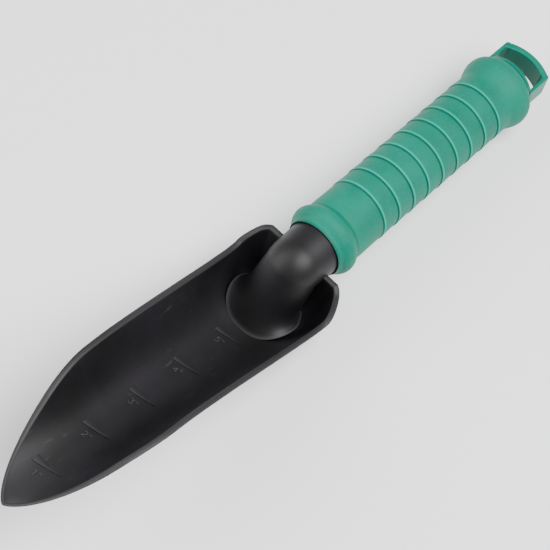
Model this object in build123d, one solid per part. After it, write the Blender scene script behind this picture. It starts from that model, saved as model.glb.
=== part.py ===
"""Narrow hand trowel: a black moulded scoop with an integral neck and tang, a ribbed grip
sleeve pushed over the tang, and an end plug with a hang loop.

The tool is drawn about its handle axis: x runs from the blade's tip to the hang loop and is
zero at the mouth of the grip, y is sideways and z is up, towards the open side of the scoop.
place() then lays the finished pieces on the ground as the trowel rests, on the scoop's belly
and on the swell at the end of the grip, with the origin under the middle of the whole tool.
"""
from build123d import *
import math
import os

# ---- driving dimensions, mm ---------------------------------------------------------------
GRIP_R = 13.0          # outside radius of the grip's bands
TIP_X = -158.7         # blade tip
NOSE_LENGTH = 57.2     # from the tip to where the blade reaches its side width
NOSE_HALF = 20.97      # half width at the end of the nose
REAR_HALF = 23.2       # half width at the rear corners
REAR_X = -4.6          # outer face of the scoop's rear wall
REAR_TOP = 0.9         # top of the rear wall
WALL = 2.1             # floor thickness
FULLNESS = 0.5         # roundness of the trough: a third is a parabola, more is fuller
WALL_TOP = 34.0        # height the walls are drawn to before they are cut along the rim
LIP = 2.2              # width of the rim seen from above
TIP_LIP = 1.0          # width of the rim at the tip
EDGE = 1.3             # how far under the rim the outside of the trough begins
SHOULDER_HALF = 16.0   # half length of the straight top of the rear wall
CORNER_X = -14.5       # where the sides begin to round into the rear wall
HEEL_R = 12.0          # radius between the belly and the rear wall
CLEAR = 40.0           # cutting blocks reach this far past the scoop's sides, top and belly
PAST_TIP_X = -200.0    # and this far past its tip

NECK_R = 11.1          # neck tube
ELBOW_X = -10.9        # centre of the bend between the neck and its root in the scoop
ROOT_ANGLE = 66.0      # how steeply the neck's root dives to the scoop's floor, degrees
ROOT_LENGTH = 34.0
FLARE = (17.0, 9.0, NECK_R + 0.3, NECK_R + 3.9)    # cone where the root meets the floor

FIRST_MARK_X = -136.7  # depth marks, counted from the tip
MARK_PITCH = 24.3      # along x, which makes 25.4 along the sloping floor
MARK_COUNT = 5
MARK_LENGTH = 10.2
MARK_WIDTH = 3.2
MARK_HEIGHT = 0.35

TANG_R = 10.75         # outside of the tube that carries the grip
TANG_BORE_R = 8.2
TANG_END = 113.0
TANG_START = 1.6       # the neck's full radius runs this far into the grip's mouth
MOUTH_END = 2.0        # and the grip's wide mouth this far
BORE_START = -3.0      # front end of the tang's bore
FIT = 0.1              # gap between the grip and what it is pushed over

RIB_START = 24.9       # front lip of the first rib
RIB_PITCH = 8.645
RIB_COUNT = 9
RIB_STEP = 0.25        # how far a rib's front lip stands over the band before it
RIB_LIP = 0.7          # length of the rounded lip
COLLAR_R = 14.5        # rolled bead at the grip's mouth
COLLAR_X = 5.5
COLLAR_END = 9.4
SWELL_R = 15.2         # swell at the grip's rear end
SWELL_START = 98.7
SWELL_X = 109.0
GRIP_END = 114.2

FLANGE_R = 12.2        # plug flange against the grip's end
FLANGE = 2.2
LOOP_HALF = 11.0       # half width of the hang loop
LOOP_CORNER_X = 127.0
LOOP_END = 130.5
LOOP_TOP = 6.7         # the loop stands a little above the handle's axis
LOOP_HEIGHT = 11.0
LOOP_LEAN = 1.1        # how far the loop's underside is set back from its top
LOOP_FLARE = 0.4       # how much wider each side is at the underside
LOOP_SIDE = 1.5        # thickness of the loop's two arms
LOOP_BACK = 2.7        # thickness of its curved back
NIB_R = 0.9            # gate mark on the flange
SPIGOT_R = 7.4
SPIGOT_LENGTH = 16.0
BARB_R = 8.1

REST_TILT = 4.71       # turn about y that brings belly and swell to the ground, degrees
REST_X = 13.02         # then moved to stand over the origin
REST_Z = 24.09

# Cross sections of the scoop: place along the axis, height of the floor, height of the rim.
# The floor climbs towards the tip; the rim is highest where the nose begins.
SECTIONS = [
    (-158.2, 12.3, 12.4),
    (-150.9, 11.9, 12.5),
    (-139.9, 10.9, 13.8),
    (-129.4, 9.2, 16.3),
    (-119.0, 6.5, 19.6),
    (-107.9, 2.9, 20.7),
    (-95.4, -1.2, 19.0),
    (-74.3, -7.8, 12.5),
    (-51.2, -15.1, 3.7),
    (-26.7, -21.6, -5.6),
    (-16.9, -23.2, -8.4),
    (-2.0, -23.4, -8.4),
]


def half_width(x):
    """Half width of the scoop's outline: a rounded nose, then sides that open slowly."""
    along = min((x - TIP_X) / NOSE_LENGTH, 1.0)
    nose = NOSE_HALF * (1 - (1 - along) ** 1.587) ** (1 / 1.429)
    nose_end = TIP_X + NOSE_LENGTH
    opening = max(0.0, (x - nose_end) / (ELBOW_X - nose_end))
    return nose + (REAR_HALF - NOSE_HALF) * min(opening, 1.0)


def tub_section(x, half, floor, side):
    """Upright face across the scoop: a rounded trough and straight walls up past the rim."""
    frame = Plane(origin=(x, 0, 0), x_dir=(0, 1, 0), z_dir=(1, 0, 0))
    pull = floor - (side - floor) / 3
    trough = Bezier((-half, side), (-half * FULLNESS, pull), (half * FULLNESS, pull), (half, side))
    walls = Polyline((half, side), (half, WALL_TOP), (-half, WALL_TOP), (-half, side))
    return frame * make_face(Wire([trough.edge(), *walls.edges()]))


def side_profile(inset):
    """Rear wall and heel seen from the side, as a block across the scoop."""
    rear = REAR_X - inset
    radius = HEEL_R - inset
    belly = SECTIONS[-1][1] - WALL + inset
    corner = math.radians(45)
    outline = [
        Polyline((rear, belly + radius), (rear, CLEAR), (PAST_TIP_X, CLEAR), (PAST_TIP_X, -CLEAR),
                 (rear - radius, -CLEAR)),
        Line((rear - radius, -CLEAR), (rear - radius, belly)),
        ThreePointArc(
            (rear - radius, belly),
            (rear - radius + radius * math.sin(corner), belly + radius - radius * math.cos(corner)),
            (rear, belly + radius),
        ),
    ]
    face = make_face(Wire([edge for part in outline for edge in part.edges()]))
    return extrude(Plane.XZ * face, amount=CLEAR, both=True)


def plan_block(inset):
    """Outline of the rear corners from above, as a block through the scoop."""
    rear = REAR_X - inset
    shoulder = SHOULDER_HALF - inset * 0.5
    side = REAR_HALF - inset
    edges = []
    for turn in (1, -1):
        edges.append(ThreePointArc((rear, turn * shoulder),
                                   (rear - 2.9, turn * (shoulder + (side - shoulder) * 0.7)),
                                   (CORNER_X, turn * side)))
        edges += Polyline((CORNER_X, turn * side), (CORNER_X, turn * CLEAR),
                          (PAST_TIP_X, turn * CLEAR)).edges()
    edges.append(Line((rear, shoulder), (rear, -shoulder)))
    edges.append(Line((PAST_TIP_X, CLEAR), (PAST_TIP_X, -CLEAR)))
    return extrude(make_face(Wire(edges)), amount=CLEAR, both=True)


def rim_cut():
    """Everything above the rim: the side line that dips behind the neck and rises to the shoulder."""
    line = [(x, rim) for x, floor, rim in SECTIONS[:-1]]
    line[0] = (TIP_X - 4, 12.3)
    side_line = Spline(line)
    last = line[-1]
    shoulder = Spline([last, (-11.6, -6.9), (-8.0, -3.0), (REAR_X + 0.6, REAR_TOP)])
    over = Polyline((REAR_X + 0.6, REAR_TOP), (CLEAR, REAR_TOP), (CLEAR, CLEAR), (TIP_X - 4, CLEAR), line[0])
    face = make_face(Wire([side_line.edge(), shoulder.edge(), *over.edges()]))
    return extrude(Plane.XZ * face, amount=CLEAR, both=True)


def along_root(start, length, radius, end_radius):
    """Round bar from the elbow along the neck's root."""
    lean = math.radians(ROOT_ANGLE)
    down = Vector(-math.cos(lean), 0, -math.sin(lean))
    frame = Plane(origin=Vector(ELBOW_X, 0, 0) + down * start, z_dir=down)
    return frame * Cone(radius, end_radius, length, align=(Align.CENTER, Align.CENTER, Align.MIN))


def bar(start, end, radius):
    """Round bar along the handle axis."""
    frame = Plane(origin=(start, 0, 0), z_dir=(1, 0, 0))
    return frame * Cylinder(radius, end - start, align=(Align.CENTER, Align.CENTER, Align.MIN))


def depth_marks():
    """One slender triangle across the scoop at each inch, as posts through the floor."""
    posts = []
    for index in range(MARK_COUNT):
        x = FIRST_MARK_X + index * MARK_PITCH
        near = -MARK_LENGTH / 2
        far = MARK_LENGTH / 2
        triangle = Polyline((x, near), (x, far), (x - MARK_WIDTH, far), (x, near))
        posts.append(extrude(make_face(Wire(triangle.edges())), amount=CLEAR, both=True))
    return Part() + posts


def blade():
    outer = loft([tub_section(x, half_width(x), floor - WALL, rim - EDGE) for x, floor, rim in SECTIONS])
    outer = outer & side_profile(0) & plan_block(0)
    inner_sections = []
    for x, floor, rim in SECTIONS:
        lip = TIP_LIP + (LIP - TIP_LIP) * min((x - TIP_X) / NOSE_LENGTH, 1.0)
        half = half_width(x + TIP_LIP) - lip
        if half > 0.2:
            inner_sections.append(tub_section(x + TIP_LIP, half, floor, rim + 0.2))
    inner = loft(inner_sections) & side_profile(LIP) & plan_block(LIP)

    shell = outer - inner - rim_cut()
    root = along_root(0, ROOT_LENGTH, NECK_R, NECK_R + 1.0) + along_root(*FLARE)
    root = root & outer
    elbow = Pos(ELBOW_X, 0, 0) * Sphere(NECK_R)
    neck = bar(ELBOW_X, TANG_START, NECK_R)
    tang = bar(TANG_START, TANG_END, TANG_R)

    marks = (outer - Pos(0, 0, MARK_HEIGHT) * inner) & depth_marks()
    bore = bar(BORE_START, TANG_END, TANG_BORE_R)
    return shell + marks + root + elbow + neck + tang - bore


def grip():
    """Sleeve turned about the handle axis, from its rolled mouth to its swollen end."""
    low = GRIP_R - RIB_STEP
    bore_r = TANG_R + FIT
    mouth_r = NECK_R + FIT
    edges = [
        Line((0.4, mouth_r), (0, mouth_r + 0.6)),
        Spline([(0, mouth_r + 0.6), (1.5, 12.3), (3.4, 13.7), (COLLAR_X, COLLAR_R), (7.6, 14.1),
                (COLLAR_END, GRIP_R + 0.1)]),
    ]
    last = (COLLAR_END, GRIP_R + 0.1)
    for index in range(RIB_COUNT):
        lip_x = RIB_START + index * RIB_PITCH
        edges.append(Line(last, (lip_x, low)))
        edges.append(Line((lip_x, low), (lip_x + 0.15, GRIP_R)))
        last = (lip_x + RIB_LIP, GRIP_R)
        edges.append(Line((lip_x + 0.15, GRIP_R), last))
    edges.append(Line(last, (SWELL_START, low)))
    swell = [(SWELL_START, low), (102.2, 13.05), (105.2, 14.4), (SWELL_X, SWELL_R), (112.4, 14.3),
             (GRIP_END, 12.4)]
    edges.append(Spline(swell))
    edges += Polyline((GRIP_END, 12.4), (GRIP_END, bore_r), (MOUTH_END, bore_r), (MOUTH_END, mouth_r),
                      (0.4, mouth_r)).edges()
    return revolve(Plane.XZ * make_face(Wire(edges)), axis=Axis.X)


def loop_block(half, start, corner, end, radius):
    """Flat block with two sides along x and a gently curved back, set back towards its underside."""
    faces = []
    for z, back, wider in ((LOOP_TOP, 0, 0), (LOOP_TOP - LOOP_HEIGHT, LOOP_LEAN, LOOP_FLARE)):
        side = half + wider
        outline = Wire([
            ThreePointArc((corner + back, -side), (end + back, 0), (corner + back, side)),
            *Polyline((corner + back, side), (start, side), (start, -side),
                      (corner + back, -side)).edges(),
        ])
        face = make_face(outline)
        faces.append(Pos(0, 0, z) * fillet(face.vertices().sort_by(Axis.X)[-2:], radius))
    return loft(faces, ruled=True)


def plug():
    """Flange and barbed spigot with the flat hang loop behind."""
    flange = bar(GRIP_END + FIT, GRIP_END + FIT + FLANGE, FLANGE_R)
    boss = bar(TANG_END, GRIP_END + FIT, TANG_R)
    spigot = bar(TANG_END - SPIGOT_LENGTH, TANG_END, SPIGOT_R)
    barbs = [bar(TANG_END - 4.0 * (index + 1), TANG_END - 4.0 * (index + 1) + 1.5, BARB_R)
             for index in range(3)]
    root_x = GRIP_END + FLANGE / 2
    slot_x = GRIP_END + FIT + FLANGE
    outer = loop_block(LOOP_HALF, root_x, LOOP_CORNER_X, LOOP_END, 1.2)
    slot = loop_block(LOOP_HALF - LOOP_SIDE, slot_x, LOOP_CORNER_X - LOOP_BACK, LOOP_END - LOOP_BACK, 1.0)
    nib = Pos(slot_x - 0.2, -FLANGE_R * 0.995, -FLANGE_R * 0.1) * Sphere(NIB_R)
    return flange + boss + spigot + barbs + nib + (outer - slot)


def place(shape):
    """From the handle's own axis to the ground, tip to the left of the origin."""
    return Pos(REST_X, 0, REST_Z) * Rot(0, REST_TILT, 0) * shape


PARTS = {
    "blade_moulding": blade(),
    "grip_sleeve": grip(),
    "hang_plug": plug(),
}

os.makedirs("parts", exist_ok=True)
for name, shape in PARTS.items():
    placed = place(shape)
    export_step(placed, f"parts/{name}.step")
    box = placed.bounding_box()
    print(name, len(placed.solids()), round(placed.volume), box.min, box.max)
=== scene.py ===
"""Looks of the hand trowel: a black moulded scoop and neck, a green ribbed grip and a green
plug with a hang loop.

Every surface is worked out about the handle's own axis, in millimetres: x runs from the
blade's tip to the hang loop with zero at the grip's mouth, y is across and z is up towards
the open side of the scoop. to_ground() then lays the points on the ground, in metres.
"""

import math

import bmesh
import bpy
import numpy as np
from mathutils import Matrix, Vector


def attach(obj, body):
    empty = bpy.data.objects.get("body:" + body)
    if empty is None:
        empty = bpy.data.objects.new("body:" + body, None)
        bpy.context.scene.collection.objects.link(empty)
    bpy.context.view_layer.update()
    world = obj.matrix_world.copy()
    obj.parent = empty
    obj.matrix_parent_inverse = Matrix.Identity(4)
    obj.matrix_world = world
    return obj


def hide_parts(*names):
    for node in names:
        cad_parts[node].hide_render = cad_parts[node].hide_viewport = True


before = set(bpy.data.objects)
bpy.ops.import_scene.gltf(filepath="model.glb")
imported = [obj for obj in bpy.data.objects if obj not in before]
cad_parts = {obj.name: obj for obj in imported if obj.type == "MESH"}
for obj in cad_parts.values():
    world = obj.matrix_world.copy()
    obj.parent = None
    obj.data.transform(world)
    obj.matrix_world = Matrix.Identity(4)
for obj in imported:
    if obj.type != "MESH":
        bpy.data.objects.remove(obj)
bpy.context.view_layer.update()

REST_TILT = math.radians(4.71)
REST_X = 13.02
REST_Z = 24.09

# scoop
TIP_X = -158.3
NOSE_LENGTH = 56.8         # tip to full width
NOSE_HALF = 20.97
NOSE_POWERS = (1.587, 1 / 1.429)
REAR_HALF = 23.08
SIDE_END_X = -14.5         # where a side turns into the rear corner
REAR_X = -4.6
REAR_TOP = 0.9
SHOULDER_HALF = 16.0       # half the straight rear lip
CORNER_POWER = 1.5
WALL = 1.75
LIP_SIDE = 2.2
LIP_TIP = 1.2
LIP_GROWS = 40.0           # the lip widens over this length from the tip
LIP_ROLL = 0.45            # height of the lip's rounding
SIDE_ROUND = 2.6           # power of the side walls; more is flatter below and steeper above
REAR_BEND = (-34.0, -7.0)  # the walls steepen between these
OUTSIDE_END_X = -20.0      # the belly's middle line ends here, the inside's a little before
INSIDE_END_X = -25.0
OUTSIDE_REAR = 9.0         # power of the rear wall, outside and inside
INSIDE_REAR = 8.0
SPINE_START = 7.0          # the middle line starts this far behind the tip
SECTION_X = np.array([-158.7, -150.9, -139.9, -129.4, -119.0, -107.9, -95.4, -74.3, -51.2, -26.7,
                      -16.9, -2.0])
FLOOR_Z = np.array([12.3, 11.9, 10.9, 9.2, 6.5, 2.9, -1.2, -7.8, -15.1, -21.6, -23.2, -23.4])
RIM_X = np.array([-158.7, -150.9, -139.9, -129.4, -119.0, -107.9, -95.4, -74.3, -51.2, -26.7, -18.4,
                  -14.5, -11.9, -8.1, -6.7, REAR_X])
RIM_Z = np.array([12.4, 12.5, 13.8, 16.3, 19.6, 20.7, 19.0, 12.5, 3.7, -5.6, -8.1,
                  -8.3, -7.0, -3.0, -0.9, REAR_TOP])

# neck
NECK_R = 11.1
NECK_THINS = 0.25          # the neck loses this much towards the bend, and again round it
TANG_R = 10.6
TANG_START = 1.6
TANG_END = 112.5
ELBOW_X = -10.9
BEND_R = 1.9
ROOT_LEAN = math.radians(66.0)
ROOT_FALL = 13.0           # length of the straight root below the bend
ROOT_GROWS = 0.04          # and how much it widens for each mm
FOOT_X = -19.3
FOOT_R = 14.4
FOOT_BOXY = 2.4
FOOT_REACH = 5.5           # how far the foot carries on along the root before it spreads
FOOT_STEP = 0.32           # its edge stands this far over the floor
FOOT_REAR_X = -5.8         # nothing low on the neck goes further back than this
FOOT_TOP_Z = -9.5          # and this is where low begins
FOOT_MIDDLE_X = -21.0      # where the foot closes, under the floor by FOOT_SINKS
FOOT_SINKS = 0.9
FOOT_SKIRT = 1.3
BRINK_OUT = 0.22           # a small round outside the foot's edge, this far out and down
BRINK_DOWN = 0.2

# grip
GRIP_R = 13.0
BAND_R = 12.95
PLAIN_START = 12.5
RIB_START = 24.9
RIB_PITCH = 8.645
RIB_COUNT = 9
RIB_SINKS = 0.24
GROOVE = 0.14
LIP_STANDS = 0.09
SWELL_START = 97.9
GRIP_END = 114.2
MOUTH_R = 11.2
BORE_R = 10.9
MOUTH_END = 2.0

# plug
SPIGOT_R = 7.4
SPIGOT_START = 97.2
SPIGOT_END = 113.0
BOSS_R = 10.7
FLANGE_R = 12.2
FLANGE_X = 114.3
FLANGE_END = 116.5
NIB_R = 0.88
LOOP_START = 115.2
LOOP_HALF = 11.0
LOOP_CORNER_X = 127.0
LOOP_END = 130.5
LOOP_TOP = 6.7
LOOP_HEIGHT = 11.0
LOOP_LEAN = 1.1            # the underside is set back by this and wider by LOOP_FLARE
LOOP_FLARE = 0.4
LOOP_SIDE = 1.5
LOOP_BACK = 2.7
LOOP_CORNER_R = 1.3
SLOT_CORNER_R = 1.6

# depth marks
FIRST_MARK_X = -136.7
MARK_PITCH = 24.3
MARK_LENGTH = 10.2
MARK_WIDTH = 3.2
DIGIT_SIZE = 1.6
NUMERAL_PLACE = (-6.9, 2.2)  # from a mark's place to the first corner of its number and sign
INCH_PLACE = (-6.6, 0.1)

# view and light: place in mm and directions about the handle's axis, lights in metres and watts
VIEW_PLACE = np.array([-396.1575, -140.4207, 625.6482])
VIEW_RIGHT = np.array([0.65518, -0.71924, 0.23117])
VIEW_DOWN = np.array([-0.56055, -0.66796, -0.4895])
VIEW_LENS = 136.24
LIGHTS = (
    ("key", (0.15, -0.5, 1.25), 1.1, 38.0),
    ("left", (-0.45, 1.1, 1.3), 1.6, 14.0),
    ("front", (-0.95, 0.95, 0.5), 1.2, 15.0),
)
LIGHTS_AIM = (0.0, 0.0, 0.02)
SURROUNDINGS = 0.45
FLOOR_HALF = 6.0


# ------------------------------------------------------------------------------ geometry kit
def to_ground(points):
    """Turns points about y by the rest tilt, shifts them to the ground and makes them metres."""
    p = np.asarray(points, dtype=float)
    x, y, z = p[..., 0], p[..., 1], p[..., 2]
    c, s = math.cos(REST_TILT), math.sin(REST_TILT)
    return np.stack([x * c + z * s + REST_X, y, z * c - x * s + REST_Z], axis=-1) * 0.001


def smooth_through(x, knots, values):
    """Piecewise cubic through the knots whose slope at each is that of its two neighbours' chord."""
    slope = np.gradient(values, knots)
    i = np.clip(np.searchsorted(knots, x) - 1, 0, len(knots) - 2)
    step = knots[i + 1] - knots[i]
    t = np.clip((x - knots[i]) / step, 0.0, 1.0)
    a = values[i] * (1 + 2 * t) * (1 - t) ** 2 + values[i + 1] * t * t * (3 - 2 * t)
    b = slope[i] * t * (1 - t) ** 2 - slope[i + 1] * t * t * (1 - t)
    return a + b * step


def ease(x, low, high):
    """Nought below low, one above high, and the cubic 3t^2 - 2t^3 between."""
    t = np.clip((x - low) / (high - low), 0.0, 1.0)
    return t * t * (3 - 2 * t)


def grid_faces(rows, cols, wrap_rows, first):
    """Quads between neighbours of a rows by cols grid, numbered row by row; columns go round."""
    r = np.arange(rows if wrap_rows else rows - 1)
    r, c = np.meshgrid(r, np.arange(cols), indexing="ij")
    r2, c2 = (r + 1) % rows, (c + 1) % cols
    quads = np.stack([r * cols + c, r * cols + c2, r2 * cols + c2, r2 * cols + c], axis=-1)
    return quads.reshape(-1, 4) + first


class Shells:
    """Gathers closed grids of one piece, with one number per point for its material."""

    def __init__(self):
        self.points, self.faces, self.marks, self.count = [], [], [], 0

    def add(self, grid, mark=0.0, wrap_rows=False):
        """Adds one closed grid: its columns go round, and so do its rows if wrap_rows."""
        rows, cols = grid.shape[:2]
        self.faces.append(grid_faces(rows, cols, wrap_rows, self.count))
        self.points.append(grid.reshape(-1, 3))
        self.marks.append(np.broadcast_to(mark, (rows, cols)).reshape(-1))
        self.count += rows * cols

    def piece(self, name, material):
        """One mesh from the gathered grids, its seams and poles closed and its faces outwards."""
        mesh = bpy.data.meshes.new(name)
        mesh.from_pydata(to_ground(np.concatenate(self.points)), [], np.concatenate(self.faces))
        mark = mesh.attributes.new("mark", "FLOAT", "POINT")
        mark.data.foreach_set("value", np.concatenate(self.marks).astype(np.float32))
        work = bmesh.new()
        work.from_mesh(mesh)
        bmesh.ops.remove_doubles(work, verts=work.verts, dist=2e-6)
        bmesh.ops.dissolve_degenerate(work, edges=work.edges, dist=1e-7)
        bmesh.ops.recalc_face_normals(work, faces=work.faces)
        work.to_mesh(mesh)
        work.free()
        mesh.polygons.foreach_set("use_smooth", np.ones(len(mesh.polygons), dtype=bool))
        mesh.set_sharp_from_angle(angle=math.radians(40.0))
        mesh.materials.append(material)
        piece = bpy.data.objects.new(name, mesh)
        bpy.context.scene.collection.objects.link(piece)
        return piece


def closed_ends(grid):
    """The grid with one more row at each end, drawn together at that end's middle."""
    first, last = (np.broadcast_to(row.mean(axis=0), (1,) + grid.shape[1:]) for row in grid[[0, -1]])
    return np.concatenate([first, grid, last])


def turned(profile, count):
    """A profile of (x, radius) points turned about the x axis."""
    profile = np.asarray(profile, dtype=float)
    angle = np.linspace(0, 2 * math.pi, count, endpoint=False)
    x = np.repeat(profile[:, :1], count, axis=1)
    return np.stack([x, profile[:, 1:] * np.cos(angle), profile[:, 1:] * np.sin(angle)], axis=-1)


# ------------------------------------------------------------------------------------- scoop
def half_width(x):
    """Half the outside width.

    In the nose it is NOSE_HALF times a power of one less another power of the way still to go,
    and behind it a straight slow taper.
    """
    along = np.clip((x - TIP_X) / NOSE_LENGTH, 0.0, 1.0)
    nose = NOSE_HALF * (1 - (1 - along) ** NOSE_POWERS[0]) ** NOSE_POWERS[1]
    end = TIP_X + NOSE_LENGTH
    return nose + (REAR_HALF - NOSE_HALF) * np.clip((x - end) / (ELBOW_X - end), 0.0, 1.0)


def lip_width(x):
    """Width of the lip seen from above, easing from the tip's to the sides'."""
    return LIP_TIP + (LIP_SIDE - LIP_TIP) * ease(x, TIP_X, TIP_X + LIP_GROWS)


def floor_height(x):
    """Height of the inside's middle line."""
    return smooth_through(x, SECTION_X, FLOOR_Z)


def trough_height(x, y):
    """Inside of the scoop: the floor, plus the rim's height over it times a power of the way out."""
    inside = half_width(x) - lip_width(x)
    rim = smooth_through(x, RIM_X, RIM_Z)
    out = np.clip(np.abs(y) / inside, 0.0, 1.0)
    return floor_height(x) + (rim - floor_height(x)) * out ** SIDE_ROUND


def rim_line():
    """The rim's outer edge, once round: side, rounded rear corner, straight rear lip, and back.

    The corner is sin of the turn along x and a power of its cos across.
    """
    t = np.linspace(0, 1, 170)
    side_x = TIP_X + (SIDE_END_X - TIP_X) * t ** 1.6
    side = np.stack([side_x, half_width(side_x), smooth_through(side_x, RIM_X, RIM_Z)], axis=-1)

    turn = np.linspace(0, math.pi / 2, 30)[1:]
    reach = REAR_X - SIDE_END_X
    corner_x = SIDE_END_X + reach * np.sin(turn)
    corner_y = SHOULDER_HALF + (REAR_HALF - SHOULDER_HALF) * np.cos(turn) ** CORNER_POWER
    corner = np.stack([corner_x, corner_y, smooth_through(corner_x, RIM_X, RIM_Z)], axis=-1)

    lip_y = np.linspace(SHOULDER_HALF, 0, 20)[1:]
    lip = np.stack([np.full_like(lip_y, REAR_X), lip_y, np.full_like(lip_y, REAR_TOP)], axis=-1)
    left = np.concatenate([side, corner, lip])
    right = left[-2:0:-1] * np.array([1, -1, 1])
    return np.concatenate([left, right])


def inward(line):
    """Unit normals of a closed line seen from above, turned towards the scoop's middle line."""
    run = np.roll(line, -1, axis=0) - np.roll(line, 1, axis=0)
    normal = np.stack([-run[:, 1], run[:, 0]], axis=-1)
    normal /= np.linalg.norm(normal, axis=1, keepdims=True) + 1e-12
    centre = np.stack([np.clip(line[:, 0], -150, -30), np.zeros(len(line))], axis=-1)
    flip = np.sign(np.sum(normal * (centre - line[:, :2]), axis=1, keepdims=True))
    return normal * np.where(flip == 0, 1, flip)


def bowl(rim, spine_end, rear_round, drop, rings):
    """Rings from the rim down to the floor's middle line.

    Each point goes a share f of the way from the rim to the middle line, whose two ends are
    eased in with log(1 + e^x), and its height over the floor falls as (1 - f) to a power, low
    at the sides and high at the steep rear wall.
    """
    soft_rear, soft_front = 4.0, 2.0
    spine_x = spine_end - soft_rear * np.logaddexp(0.0, (spine_end - rim[:, 0]) / soft_rear)
    front = TIP_X + SPINE_START
    spine_x = front + soft_front * np.logaddexp(0.0, (spine_x - front) / soft_front)
    power = SIDE_ROUND + (rear_round - SIDE_ROUND) * ease(rim[:, 0], *REAR_BEND)
    f = (np.linspace(0, 1, rings) ** 1.55)[:, None]
    x = rim[:, 0] + f * (spine_x - rim[:, 0])
    y = rim[:, 1] * (1 - f)
    base = floor_height(x) - drop
    return np.stack([x, y, base + (rim[:, 2] - base) * (1 - f) ** power], axis=-1)


def scoop_shell(shells):
    """Outside from the belly up, over the lip, and down the inside to the floor.

    The lip crosses by half of one less cos of the turn and is crowned by a power of its sin.
    """
    outer = rim_line()
    inner = outer.copy()
    inner[:, :2] += inward(outer) * lip_width(outer[:, 0])[:, None]
    turn = np.linspace(0, math.pi, 11)[:, None]
    across = (0.5 - 0.5 * np.cos(turn))[..., None]
    crown = LIP_ROLL * np.sin(turn) ** 0.7
    lip = outer[None] + across * (inner - outer)[None]
    lip[..., 2] += crown - LIP_ROLL
    outer[:, 2] -= LIP_ROLL
    inner[:, 2] -= LIP_ROLL
    outside = bowl(outer, OUTSIDE_END_X, OUTSIDE_REAR, WALL, 46)[::-1]
    inside = bowl(inner, INSIDE_END_X, INSIDE_REAR, 0.0, 64)
    # Painted highlight over the whole lip, strongest on its two rounded edges and fading a little way down
    # each wall.
    over = 0.35 + 0.65 * np.abs(np.linspace(-1, 1, len(lip))) ** 3
    painted_highlight = np.concatenate([np.zeros(len(outside) - 3), [0.15, 0.45], over, [0.35, 0.1],
                          np.zeros(len(inside) - 3)])
    grid = np.concatenate([outside[:-1], lip, inside[1:]])
    shells.add(grid, painted_highlight[:, None])


def on_floor(x, y, lift):
    """Points over (x, y), lifted from the inside of the scoop."""
    return np.stack([x, y, trough_height(x, y) + lift], axis=-1)


def foot(start, down, angle):
    """Rings from the tube's lower end to the floor, over its edge and in under it.

    Each line is (1-t)^2 start + 2t(1-t) toward + t^2 edge. The edge is a boxy oval: FOOT_R over
    the nth root of |cos|^n + |sin|^n, narrower at the rear and kept short of the rear wall.
    """
    square = np.abs(np.cos(angle)) ** FOOT_BOXY + np.abs(np.sin(angle)) ** FOOT_BOXY
    oval = FOOT_R / square ** (1 / FOOT_BOXY)
    edge_x = np.minimum(FOOT_X - oval * np.cos(angle), FOOT_REAR_X)
    edge_y = oval * np.sin(angle) * (1 - 0.2 * ease(edge_x, -21, -8))
    edge = on_floor(edge_x, edge_y, FOOT_STEP)
    toward = start.copy()
    toward[:, [0, 2]] += down * FOOT_REACH
    toward = 0.8 * toward + 0.1 * (start + edge)
    t = np.linspace(0, 1, 18)[1:, None, None]
    spread = start * (1 - t) ** 2 + 2 * toward * t * (1 - t) + edge * t * t
    spread[..., 0] = np.minimum(spread[..., 0], FOOT_REAR_X)
    brink = edge.copy()
    brink[:, :2] += BRINK_OUT * (edge[:, :2] - [FOOT_X, 0]) / FOOT_R
    brink[:, 2] -= BRINK_DOWN
    skirt = edge - [0, 0, FOOT_SKIRT]
    under = float(floor_height(np.array(FOOT_MIDDLE_X))) - FOOT_SINKS
    middle = np.broadcast_to([FOOT_MIDDLE_X, 0.0, under], edge.shape)
    return np.concatenate([spread, brink[None], skirt[None], middle[None]])


def neck(shells):
    """Tube along the handle's axis, round a tight bend and down to a flared foot on the floor.

    Each ring stands square to the middle line: its points are the line's own plus the radius
    times cos of the angle along the ring's up direction and sin of it across.
    """
    bend_x = ELBOW_X + BEND_R * math.tan(ROOT_LEAN / 2)
    turn = np.linspace(0, ROOT_LEAN, 22)
    down = np.array([-math.cos(ROOT_LEAN), -math.sin(ROOT_LEAN)])
    lead = np.concatenate([np.linspace(TANG_END, 2.0, 12), np.linspace(1.0, bend_x + 0.5, 10)])
    arc = np.stack([bend_x - BEND_R * np.sin(turn), -BEND_R + BEND_R * np.cos(turn)], axis=-1)
    fall = np.linspace(0.8, ROOT_FALL, 20)
    line = np.concatenate([np.stack([lead, 0 * lead], axis=-1), arc, arc[-1] + fall[:, None] * down])
    lean = np.concatenate([0 * lead, turn, 0 * fall + ROOT_LEAN])
    radius = np.concatenate([
        np.where(lead > TANG_START, TANG_R, NECK_R - NECK_THINS * ease(-lead, 0, 9)),
        NECK_R - NECK_THINS * np.linspace(1, 2, len(turn)),
        NECK_R - NECK_THINS * 2 + ROOT_GROWS * fall,
    ])
    angle = np.linspace(0, 2 * math.pi, 128, endpoint=False)
    reach = radius[:, None] * np.cos(angle)
    x = line[:, :1] - reach * np.sin(lean)[:, None]
    z = line[:, 1:] + reach * np.cos(lean)[:, None]
    tube = np.stack([x, radius[:, None] * np.sin(angle), z], axis=-1)
    front_cap = np.broadcast_to([TANG_END, 0.0, 0.0], (1,) + tube.shape[1:])
    grid = np.concatenate([front_cap, tube, foot(tube[-1], down, angle)])

    root = grid[1 + len(lead) + len(turn):-1]
    low = root[..., 2] < FOOT_TOP_Z
    root[..., 0] = np.where(low, np.minimum(root[..., 0], FOOT_REAR_X), root[..., 0])
    # Painted highlight along the foot's edge where it meets the floor.
    painted_highlight = np.zeros(grid.shape[:2])
    painted_highlight[-5:-1] = np.array([0.35, 0.8, 0.8, 0.2])[:, None]
    shells.add(grid, painted_highlight)


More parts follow.
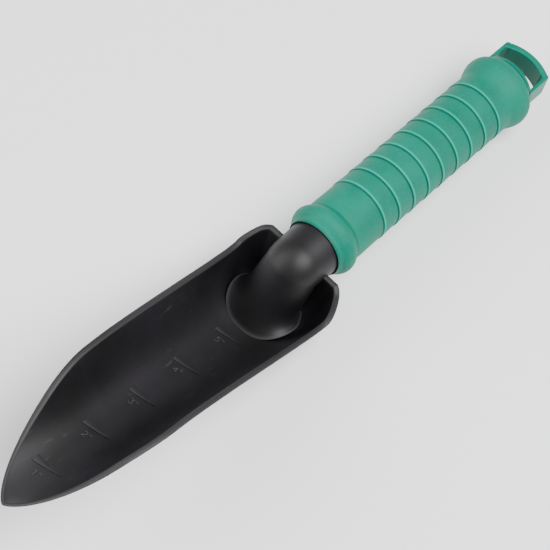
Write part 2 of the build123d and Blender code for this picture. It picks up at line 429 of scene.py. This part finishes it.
def depth_mark(shells, x0):
    """A slender raised wedge, straight across at the rear and slanting on the tip side.

    It is highest near the slanting edge and falls towards the straight one, and both edges run
    down into the floor.
    """
    along = np.linspace(0.0, 1.0, 36)[:, None]
    y = MARK_LENGTH * (along - 0.5)
    side = np.array([0.0, 0.0, 0.06, 0.2, 0.6, 0.94, 1.0, 1.0])
    lift = np.array([-0.5, 0.2, 0.42, 0.36, 0.22, 0.2, 0.08, -0.5])
    x = x0 + 0.25 - (0.5 + (MARK_WIDTH - 0.3) * along) * (1 - side)
    grid = on_floor(x, np.broadcast_to(y, x.shape), np.broadcast_to(lift, x.shape))
    # Painted highlight, strongest along the wedge's high slanting side.
    shells.add(closed_ends(grid), np.array([0, 0.5, 0.9, 0.5, 0.1, 0.2, 0.2, 0]))


def raised_stroke(shells, corners):
    """A low rounded rib along a line of corners lying on the floor."""
    corners = np.asarray(corners, dtype=float)
    length = np.concatenate([[0], np.cumsum(np.linalg.norm(np.diff(corners, axis=0), axis=1))])
    s = np.linspace(0, length[-1], max(6, int(length[-1] / 0.22)))
    x, y = np.interp(s, length, corners[:, 0]), np.interp(s, length, corners[:, 1])
    run = np.stack([np.gradient(x), np.gradient(y)], axis=-1)
    run /= np.linalg.norm(run, axis=1, keepdims=True) + 1e-12
    side = np.array([-0.27, -0.25, -0.14, 0.0, 0.14, 0.25, 0.27])
    lift = np.array([-0.4, 0.08, 0.25, 0.3, 0.25, 0.08, -0.4])
    gx = x[:, None] - run[:, 1:] * side
    gy = y[:, None] + run[:, :1] * side
    grid = on_floor(gx, gy, np.broadcast_to(lift, gx.shape))
    # Painted highlight along the rib's crown.
    shells.add(closed_ends(grid), np.array([0, 0.3, 0.8, 0.9, 0.8, 0.3, 0]))


# Strokes of the five numerals and the inch sign: across and up, on a cell 1 wide and 1.5 high.
NUMERALS = [
    [[(0.2, 1.2), (0.55, 1.5), (0.55, 0)]],
    [[(0, 1.2), (0.2, 1.48), (0.75, 1.48), (0.95, 1.15), (0.8, 0.8), (0, 0), (1, 0)]],
    [[(0, 1.5), (1, 1.5), (0.45, 0.9), (0.85, 0.8), (1, 0.45), (0.75, 0.05), (0.2, 0.0), (0, 0.25)]],
    [[(0.72, 0), (0.72, 1.5), (0, 0.45), (1, 0.45)]],
    [[(0.95, 1.5), (0.15, 1.5), (0.1, 0.85), (0.6, 0.95), (1, 0.5), (0.7, 0.05), (0.05, 0.05)]],
]
INCH_SIGN = [[(0.1, 1.5), (0.1, 1.0)], [(0.5, 1.5), (0.5, 1.0)]]


def depth_scale(shells):
    """Five marks down the scoop, each with its number and an inch sign on the tip side."""
    for index, numeral in enumerate(NUMERALS):
        x0 = FIRST_MARK_X + index * MARK_PITCH
        depth_mark(shells, x0)
        for (px, py), strokes in ((NUMERAL_PLACE, numeral), (INCH_PLACE, INCH_SIGN)):
            for stroke in strokes:
                u, v = np.array(stroke).T * DIGIT_SIZE
                raised_stroke(shells, np.stack([x0 + px + v, py - u], axis=-1))


# -------------------------------------------------------------------------------------- grip
def grip_profile():
    """Places along the sleeve, the radius there, and a number for painted shade in the creases (above
    nought) and painted highlight on each rib's lip (below nought).

    Mouth and swell are curves through a few radii. Each rib steps up, sinks away with a power
    of the way to the next, and has a bell-shaped groove before its lip and a bell-shaped lip.
    """
    near_lip = np.array([-1.4, -0.9, -0.65, -0.45, -0.25, -0.1, 0.05, 0.2, 0.35, 0.5, 0.65, 0.8,
                         1.0, 1.3, 1.9, 3.0, 4.8])
    ribs = RIB_START + RIB_PITCH * np.arange(RIB_COUNT)[:, None] + near_lip
    x = np.concatenate([np.linspace(0, 12, 60), np.linspace(13, 22, 8), ribs.ravel(),
                        np.linspace(99.5, GRIP_END, 70)])
    bead_x = np.array([0.0, 1.5, 3.4, 5.5, 7.6, 9.4, 10.3, PLAIN_START])
    bead_r = np.array([11.8, 12.3, 13.75, 14.5, 14.1, 13.0, 12.85, BAND_R])
    r = np.where(x > PLAIN_START, BAND_R, smooth_through(x, bead_x, bead_r))
    r = r - GROOVE * ease(x, PLAIN_START, RIB_START - 0.3) * (x <= RIB_START)
    # Painted shade in each groove and painted highlight on each rib's lip.
    painted_shading, lip_highlight = np.zeros_like(x), np.zeros_like(x)
    for index in range(RIB_COUNT):
        past = x - RIB_START - index * RIB_PITCH
        band = GRIP_R + 0.02 - RIB_SINKS * ease(past, 0.9, RIB_PITCH - 0.5) ** 0.8
        r = np.where((past > 0) & (past < RIB_PITCH), band, r)
        groove = np.exp(-((past + 0.25) / 0.3) ** 2)
        lip_round = np.exp(-((past - 0.5) / 0.42) ** 2)
        r = r - GROOVE * groove + LIP_STANDS * lip_round
        painted_shading = np.maximum(painted_shading, groove)
        lip_highlight += np.where(groove < 0.3, lip_round, 0.0)
    swell_x = np.array([97.5, 100.0, 102.8, 105.6, 109.2, 112.2, 113.4, 113.9, GRIP_END])
    swell_r = np.array([12.77, 12.78, 13.0, 14.2, 15.18, 14.5, 13.4, 12.3, 11.0])
    r = np.where(x > SWELL_START, smooth_through(x, swell_x, swell_r), r)
    # More painted shade in the mouth, behind the bead and where the sleeve meets the plug.
    painted_shading = np.where(x < 1.2, 0.8 - 0.5 * x, painted_shading)
    painted_shading = np.maximum(painted_shading, 0.6 * np.exp(-((x - 9.9) / 0.7) ** 2))
    painted_shading = np.maximum(painted_shading, 0.7 * ease(x, GRIP_END - 0.8, GRIP_END - 0.2))
    return x, r, painted_shading - 0.5 * lip_highlight


def grip(shells):
    """The sleeve's outside and its stepped bore, turned about the axis."""
    x, r, painted_shading = grip_profile()
    bore = [(GRIP_END, BORE_R), (MOUTH_END, BORE_R), (MOUTH_END, MOUTH_R), (0.3, MOUTH_R)]
    profile = np.concatenate([np.stack([x, r], axis=-1), bore])
    # The bore is painted fully in shade.
    shells.add(turned(profile, 192), np.concatenate([painted_shading, np.ones(4)])[:, None], wrap_rows=True)


# -------------------------------------------------------------------------------------- plug
def loop_outline(half, start, corner, end, radius):
    """One closed line: near arm, rounded corner, curved back, corner, far arm and root.

    The back is a circle through both corners and the end; bow is its radius.
    """
    bow = (half * half + (end - corner) ** 2) / (2 * (end - corner))
    y = np.linspace(-half + radius, half - radius, 44)
    back = np.stack([end - bow + np.sqrt(bow * bow - y * y), y], axis=-1)
    turn = np.linspace(0, math.pi / 2, 8)
    near_centre = np.array([back[0, 0] - radius, -half + radius])
    near = near_centre + radius * np.stack([np.sin(turn), -np.cos(turn)], axis=-1)
    arm_x = np.linspace(start, near[0, 0], 14)[:-1]
    arm = np.stack([arm_x, np.full_like(arm_x, -half)], axis=-1)
    far = near[::-1] * [1, -1]
    far_arm = arm[::-1] * [1, -1]
    root_y = np.linspace(half, -half, 18)[1:-1]
    root = np.stack([np.full_like(root_y, start), root_y], axis=-1)
    return np.concatenate([arm, near, back[1:-1], far, far_arm, root])


def hang_loop(shells):
    """Strap round the slot: a section carried between an outer and an inner line, top and bottom.

    The section is a rounded oblong: low powers of cos and sin of the turn give how far out and
    how deep each point lies.
    """
    levels = []
    for back, wider in ((0.0, 0.0), (LOOP_LEAN, LOOP_FLARE)):
        outer = loop_outline(LOOP_HALF + wider, LOOP_START, LOOP_CORNER_X + back, LOOP_END + back,
                             LOOP_CORNER_R)
        inner = loop_outline(LOOP_HALF - LOOP_SIDE + wider, FLANGE_END, LOOP_CORNER_X - LOOP_BACK + back,
                             LOOP_END - LOOP_BACK + back, SLOT_CORNER_R)
        levels.append((outer, inner))
    turn = np.linspace(0, 2 * math.pi, 48, endpoint=False)[:, None, None]
    c, s = np.cos(turn), np.sin(turn)
    out = 0.5 + 0.5 * np.sign(c) * np.abs(c) ** 0.26
    deep = 0.5 - 0.5 * np.sign(s) * np.abs(s) ** 0.12
    (top_out, top_in), (low_out, low_in) = levels
    outer = top_out + deep * (low_out - top_out)
    inner = top_in + deep * (low_in - top_in)
    plan = inner + out * (outer - inner)
    z = np.broadcast_to(LOOP_TOP - LOOP_HEIGHT * deep[..., 0], plan.shape[:2])
    # Painted highlight on the four rounded edges of the strap.
    loop_edge_highlight = np.clip(1.4 * np.abs(np.sin(2 * turn[..., 0])) ** 6, 0, 1)
    shells.add(np.concatenate([plan, z[..., None]], axis=-1), loop_edge_highlight * 0.5, wrap_rows=True)


def flange(shells):
    """Spigot, boss and flange turned about the axis, and a small ball for the gate mark."""
    profile = [(SPIGOT_START, 0.0), (SPIGOT_START, SPIGOT_R - 0.4), (SPIGOT_START + 0.4, SPIGOT_R),
               (SPIGOT_END, SPIGOT_R), (SPIGOT_END, BOSS_R), (FLANGE_X, BOSS_R),
               (FLANGE_X, 11.2), (FLANGE_X + 0.2, 11.75), (FLANGE_X + 0.6, FLANGE_R),
               (FLANGE_END - 0.5, FLANGE_R), (FLANGE_END - 0.14, FLANGE_R - 0.15),
               (FLANGE_END, FLANGE_R - 0.5), (FLANGE_END, 6.0), (FLANGE_END, 0.0)]
    # Painted shade on the boss and the flange's front face, where the flange meets the grip, and painted
    # highlight on its rear edge.
    gap_shade_and_edge_highlight = np.array([0, 0, 0, 0, 0, -1, -1, -0.8, 0, 0, 0.4, 0.2, 0, 0])
    shells.add(turned(profile, 160), gap_shade_and_edge_highlight[:, None])
    lat = np.linspace(0, math.pi, 14)[:, None]
    lon = np.linspace(0, 2 * math.pi, 24, endpoint=False)
    ball = np.stack([np.cos(lat) * np.ones_like(lon), np.sin(lat) * np.cos(lon), np.sin(lat) * np.sin(lon)],
                    axis=-1)
    shells.add(ball * NIB_R + [FLANGE_END - 0.2, -FLANGE_R * 0.993, -FLANGE_R * 0.1])


# --------------------------------------------------------------------------------- materials
def socket(group, name, kind, into, value=None):
    """Adds a socket to a node group's own inputs or outputs, with its default if it has one."""
    made = group.interface.new_socket(name=name, in_out=into, socket_type=kind)
    if value is not None:
        made.default_value = value
    return made


def moulded_grain():
    """Shader group: Height is a fine noise and Mottle a slow one, both from nought to one.

    Fleck rises from nought to one over the tallest grains.
    """
    group = bpy.data.node_groups.new("moulded_grain", "ShaderNodeTree")
    socket(group, "Grain per metre", "NodeSocketFloat", "INPUT", 1500.0)
    socket(group, "Mottle per metre", "NodeSocketFloat", "INPUT", 60.0)
    socket(group, "Height", "NodeSocketFloat", "OUTPUT")
    socket(group, "Mottle", "NodeSocketFloat", "OUTPUT")
    socket(group, "Fleck", "NodeSocketFloat", "OUTPUT")
    nodes, links = group.nodes, group.links
    take, give = nodes.new("NodeGroupInput"), nodes.new("NodeGroupOutput")
    place = nodes.new("ShaderNodeTexCoord")

    coarse = nodes.new("ShaderNodeTexNoise")
    coarse.inputs["Detail"].default_value = 3.0
    coarse.inputs["Roughness"].default_value = 0.6
    slow = nodes.new("ShaderNodeTexNoise")
    slow.inputs["Detail"].default_value = 4.0
    slow.inputs["Roughness"].default_value = 0.55
    for node, rate in ((coarse, "Grain per metre"), (slow, "Mottle per metre")):
        links.new(place.outputs["Object"], node.inputs["Vector"])
        links.new(take.outputs[rate], node.inputs["Scale"])
    fleck = nodes.new("ShaderNodeMapRange")
    fleck.inputs["From Min"].default_value = 0.56
    fleck.inputs["From Max"].default_value = 0.72
    links.new(coarse.outputs["Fac"], fleck.inputs["Value"])
    links.new(coarse.outputs["Fac"], give.inputs["Height"])
    links.new(slow.outputs["Fac"], give.inputs["Mottle"])
    links.new(fleck.outputs["Result"], give.inputs["Fleck"])
    return group


def handling_marks():
    """Shader group: a stretched noise times a patchy one times Amount, from nought to Amount."""
    group = bpy.data.node_groups.new("handling_marks", "ShaderNodeTree")
    socket(group, "Amount", "NodeSocketFloat", "INPUT", 0.5)
    socket(group, "Scuffs", "NodeSocketFloat", "OUTPUT")
    nodes, links = group.nodes, group.links
    take, give = nodes.new("NodeGroupInput"), nodes.new("NodeGroupOutput")
    place = nodes.new("ShaderNodeTexCoord")
    stretch = nodes.new("ShaderNodeMapping")
    stretch.inputs["Scale"].default_value = (90.0, 700.0, 500.0)
    stretch.inputs["Rotation"].default_value = (0.0, 0.08, 0.12)
    lines = nodes.new("ShaderNodeTexNoise")
    lines.inputs["Scale"].default_value = 1.0
    lines.inputs["Detail"].default_value = 2.0
    patch = nodes.new("ShaderNodeTexNoise")
    patch.inputs["Scale"].default_value = 45.0
    patch.inputs["Detail"].default_value = 3.0
    links.new(place.outputs["Object"], stretch.inputs["Vector"])
    links.new(stretch.outputs["Vector"], lines.inputs["Vector"])
    links.new(place.outputs["Object"], patch.inputs["Vector"])
    thin = nodes.new("ShaderNodeMapRange")
    thin.inputs["From Min"].default_value = 0.62
    thin.inputs["From Max"].default_value = 0.74
    where = nodes.new("ShaderNodeMapRange")
    where.inputs["From Min"].default_value = 0.48
    where.inputs["From Max"].default_value = 0.7
    links.new(lines.outputs["Fac"], thin.inputs["Value"])
    links.new(patch.outputs["Fac"], where.inputs["Value"])
    both = nodes.new("ShaderNodeMath")
    both.operation = "MULTIPLY"
    links.new(thin.outputs["Result"], both.inputs[0])
    links.new(where.outputs["Result"], both.inputs[1])
    scaled = nodes.new("ShaderNodeMath")
    scaled.operation = "MULTIPLY"
    links.new(both.outputs["Value"], scaled.inputs[0])
    links.new(take.outputs["Amount"], scaled.inputs[1])
    links.new(scaled.outputs["Value"], give.inputs["Scuffs"])
    return group


class Finish:
    """A material with one Principled shader and small helpers that wire masks into it."""

    def __init__(self, name):
        self.material = bpy.data.materials.new(name)
        self.material.use_nodes = True
        self.nodes = self.material.node_tree.nodes
        self.links = self.material.node_tree.links
        self.shader = next(node for node in self.nodes if node.type == "BSDF_PRINCIPLED")

    def group(self, tree, **values):
        """A node that runs the group tree, with its inputs set from values."""
        node = self.nodes.new("ShaderNodeGroup")
        node.node_tree = tree
        for name, value in values.items():
            node.inputs[name.replace("_", " ")].default_value = value
        return node

    def mark(self):
        """The number that each point carries for its material, which places its painted highlight and shade.
        """
        node = self.nodes.new("ShaderNodeAttribute")
        node.attribute_name = "mark"
        return node.outputs["Fac"]

    def spread(self, source, low, high, out_low, out_high):
        """The source carried in a straight line from low..high to out_low..out_high, and clamped."""
        node = self.nodes.new("ShaderNodeMapRange")
        for name, value in zip(("From Min", "From Max", "To Min", "To Max"), (low, high, out_low, out_high)):
            node.inputs[name].default_value = value
        self.links.new(source, node.inputs["Value"])
        return node.outputs["Result"]

    def blend(self, mask, first, second):
        """first where the mask is nought and second where it is one, mixed between."""
        node = self.nodes.new("ShaderNodeMix")
        node.data_type = "RGBA"
        self.links.new(mask, node.inputs["Factor"])
        for name, value in (("A", first), ("B", second)):
            target = next(s for s in node.inputs if s.name == name and s.type == "RGBA")
            if isinstance(value, tuple):
                target.default_value = (*value, 1.0)
            else:
                self.links.new(value, target)
        return next(s for s in node.outputs if s.type == "RGBA")

    def sum(self, first, second, factor):
        """first plus factor times second."""
        node = self.nodes.new("ShaderNodeMath")
        node.operation = "MULTIPLY_ADD"
        self.links.new(second, node.inputs[0])
        node.inputs[1].default_value = factor
        self.links.new(first, node.inputs[2])
        return node.outputs["Value"]

    def bump(self, height, strength, distance):
        """Tilts the shader's normal by the slope of height, distance in metres."""
        node = self.nodes.new("ShaderNodeBump")
        node.inputs["Strength"].default_value = strength
        node.inputs["Distance"].default_value = distance
        self.links.new(height, node.inputs["Height"])
        self.links.new(node.outputs["Normal"], self.shader.inputs["Normal"])


def black_moulding(grain, scuffs):
    """Near-black satin plastic: slow grey and plum drift, painted highlight on the lip, the foot's edge and
    the raised marks, faint scuffs.
    """
    finish = Finish("black_moulding")
    skin = finish.group(grain, Grain_per_metre=2600.0, Mottle_per_metre=38.0)
    marks = finish.group(scuffs, Amount=0.35)
    drift = finish.spread(skin.outputs["Mottle"], 0.35, 0.65, 0.0, 1.0)
    colour = finish.blend(drift, (0.0035, 0.0033, 0.0038), (0.0065, 0.0050, 0.0078))
    # Painted highlight: pale grey where the number is high, on the lip, the foot's edge and the raised depth
    # marks and numerals.
    colour = finish.blend(finish.spread(finish.mark(), 0.0, 1.0, 0.0, 0.8), colour, (0.04, 0.04, 0.041))
    colour = finish.blend(marks.outputs["Scuffs"], colour, (0.05, 0.049, 0.05))
    finish.links.new(colour, finish.shader.inputs["Base Color"])
    rough = finish.spread(skin.outputs["Mottle"], 0.3, 0.7, 0.48, 0.57)
    rough = finish.sum(rough, marks.outputs["Scuffs"], 0.2)
    finish.links.new(finish.sum(rough, finish.mark(), 0.06), finish.shader.inputs["Roughness"])
    finish.shader.inputs["Specular IOR Level"].default_value = 0.35
    finish.bump(skin.outputs["Height"], 0.35, 0.00012)
    return finish.material


def green_rubber(grain, scuffs):
    """Soft sea-green rubber: speckled fine grain, painted shade in the creases and painted highlight on the
    lip of each rib.
    """
    finish = Finish("green_rubber")
    skin = finish.group(grain, Grain_per_metre=1300.0, Mottle_per_metre=70.0)
    marks = finish.group(scuffs, Amount=0.18)
    drift = finish.spread(skin.outputs["Mottle"], 0.35, 0.65, 0.0, 1.0)
    colour = finish.blend(drift, (0.0, 0.135, 0.088), (0.0, 0.165, 0.110))
    fleck = finish.spread(skin.outputs["Fleck"], 0.0, 1.0, 0.0, 0.35)
    colour = finish.blend(fleck, colour, (0.0, 0.26, 0.18))
    # Painted shade: dark green in the grooves, the mouth, the bore and where the sleeve meets the plug.
    colour = finish.blend(finish.spread(finish.mark(), 0.1, 1.0, 0.0, 0.8), colour, (0.0, 0.045, 0.03))
    # Painted highlight: pale green on the lip of each rib.
    colour = finish.blend(finish.spread(finish.mark(), -0.5, 0.0, 0.9, 0.0), colour, (0.0, 0.34, 0.24))
    colour = finish.blend(marks.outputs["Scuffs"], colour, (0.02, 0.25, 0.18))
    finish.links.new(colour, finish.shader.inputs["Base Color"])
    rough = finish.spread(skin.outputs["Mottle"], 0.3, 0.7, 0.50, 0.60)
    finish.links.new(rough, finish.shader.inputs["Roughness"])
    finish.shader.inputs["Specular IOR Level"].default_value = 0.16
    finish.bump(skin.outputs["Height"], 0.8, 0.00025)
    return finish.material


def green_plug(grain, scuffs):
    """Harder, smoother green of the plug and its loop, with painted highlight on the loop's and flange's
    edges and painted shade on the flange's front face.
    """
    finish = Finish("green_plug")
    skin = finish.group(grain, Grain_per_metre=2400.0, Mottle_per_metre=90.0)
    marks = finish.group(scuffs, Amount=0.3)
    drift = finish.spread(skin.outputs["Mottle"], 0.35, 0.65, 0.0, 1.0)
    colour = finish.blend(drift, (0.0, 0.125, 0.082), (0.0, 0.150, 0.100))
    # Painted highlight: paler green on the loop's rounded edges and the flange's rear edge.
    colour = finish.blend(finish.spread(finish.mark(), 0.0, 1.0, 0.0, 0.6), colour, (0.0, 0.26, 0.18))
    # Painted shade: dark green on the boss and the flange's front face, against the grip.
    colour = finish.blend(finish.spread(finish.mark(), -1.0, 0.0, 0.85, 0.0), colour, (0.0, 0.035, 0.024))
    colour = finish.blend(marks.outputs["Scuffs"], colour, (0.02, 0.23, 0.17))
    finish.links.new(colour, finish.shader.inputs["Base Color"])
    rough = finish.spread(skin.outputs["Mottle"], 0.3, 0.7, 0.36, 0.46)
    finish.links.new(rough, finish.shader.inputs["Roughness"])
    finish.shader.inputs["Specular IOR Level"].default_value = 0.2
    finish.bump(skin.outputs["Height"], 0.2, 0.0001)
    return finish.material


def pale_floor_finish():
    """Matt near-white of the floor."""
    finish = Finish("pale_floor")
    finish.shader.inputs["Base Color"].default_value = (0.9, 0.9, 0.9, 1.0)
    finish.shader.inputs["Roughness"].default_value = 0.9
    finish.shader.inputs["Specular IOR Level"].default_value = 0.1
    return finish.material


# ------------------------------------------------------------------------- floor, light, view
def pale_floor():
    """One square about the origin at height nought, staged so that it isn't part of the model."""
    mesh = bpy.data.meshes.new("floor")
    corners = [(x * FLOOR_HALF, y * FLOOR_HALF, 0) for x, y in ((-1, -1), (1, -1), (1, 1), (-1, 1))]
    mesh.from_pydata(corners, [], [(0, 1, 2, 3)])
    mesh.materials.append(pale_floor_finish())
    floor = bpy.data.objects.new("floor", mesh)
    bpy.context.scene.collection.objects.link(floor)


def soft_light(name, place, size, power):
    """A round area light of this size, turned towards the middle of the trowel."""
    data = bpy.data.lights.new(name, "AREA")
    data.shape = "DISK"
    data.size = size
    data.energy = power
    light = bpy.data.objects.new(name, data)
    bpy.context.scene.collection.objects.link(light)
    turn = (Vector(LIGHTS_AIM) - Vector(place)).to_track_quat("-Z", "Y").to_matrix().to_4x4()
    light.matrix_world = Matrix.Translation(place) @ turn


def studio():
    """Even pale surroundings, a wide soft light over each long side and a low one past the tip."""
    world = bpy.data.worlds.new("studio")
    world.use_nodes = True
    shade = world.node_tree.nodes["Background"]
    shade.inputs["Color"].default_value = (1.0, 1.0, 1.0, 1.0)
    shade.inputs["Strength"].default_value = SURROUNDINGS
    bpy.context.scene.world = world
    for light in LIGHTS:
        soft_light(*light)


def camera():
    """View from above the tip end through a long lens; right, up and back are its axes."""
    place = to_ground(VIEW_PLACE)
    forward = np.cross(VIEW_RIGHT, VIEW_DOWN)
    c, s = math.cos(REST_TILT), math.sin(REST_TILT)
    tilt = np.array([[c, 0, s], [0, 1, 0], [-s, 0, c]])
    axes = np.stack([tilt @ VIEW_RIGHT, -(tilt @ VIEW_DOWN), -(tilt @ forward)], axis=-1)
    data = bpy.data.cameras.new("view")
    data.lens = VIEW_LENS
    data.sensor_width = 36.0
    data.clip_start = 0.05
    data.clip_end = 30.0
    view = bpy.data.objects.new("view", data)
    bpy.context.scene.collection.objects.link(view)
    turn = Matrix([list(map(float, row)) for row in axes]).to_4x4()
    view.matrix_world = Matrix.Translation([float(v) for v in place]) @ turn
    bpy.context.scene.camera = view


# --------------------------------------------------------------------------------------- make
grain = moulded_grain()
scuffs = handling_marks()

scoop = Shells()
scoop_shell(scoop)
neck(scoop)
depth_scale(scoop)
sleeve = Shells()
grip(sleeve)
cap = Shells()
flange(cap)
hang_loop(cap)

for shells, name, node, slot, material in (
    (scoop, "scoop_and_neck", "blade_moulding", "scoop_plastic", black_moulding(grain, scuffs)),
    (sleeve, "ribbed_grip", "grip_sleeve", "soft_grip", green_rubber(grain, scuffs)),
    (cap, "plug_and_loop", "hang_plug", "plug_plastic", green_plug(grain, scuffs)),
):
    piece = shells.piece(name, material)
    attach(piece, "root")
    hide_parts(node)

pale_floor()
studio()
camera()
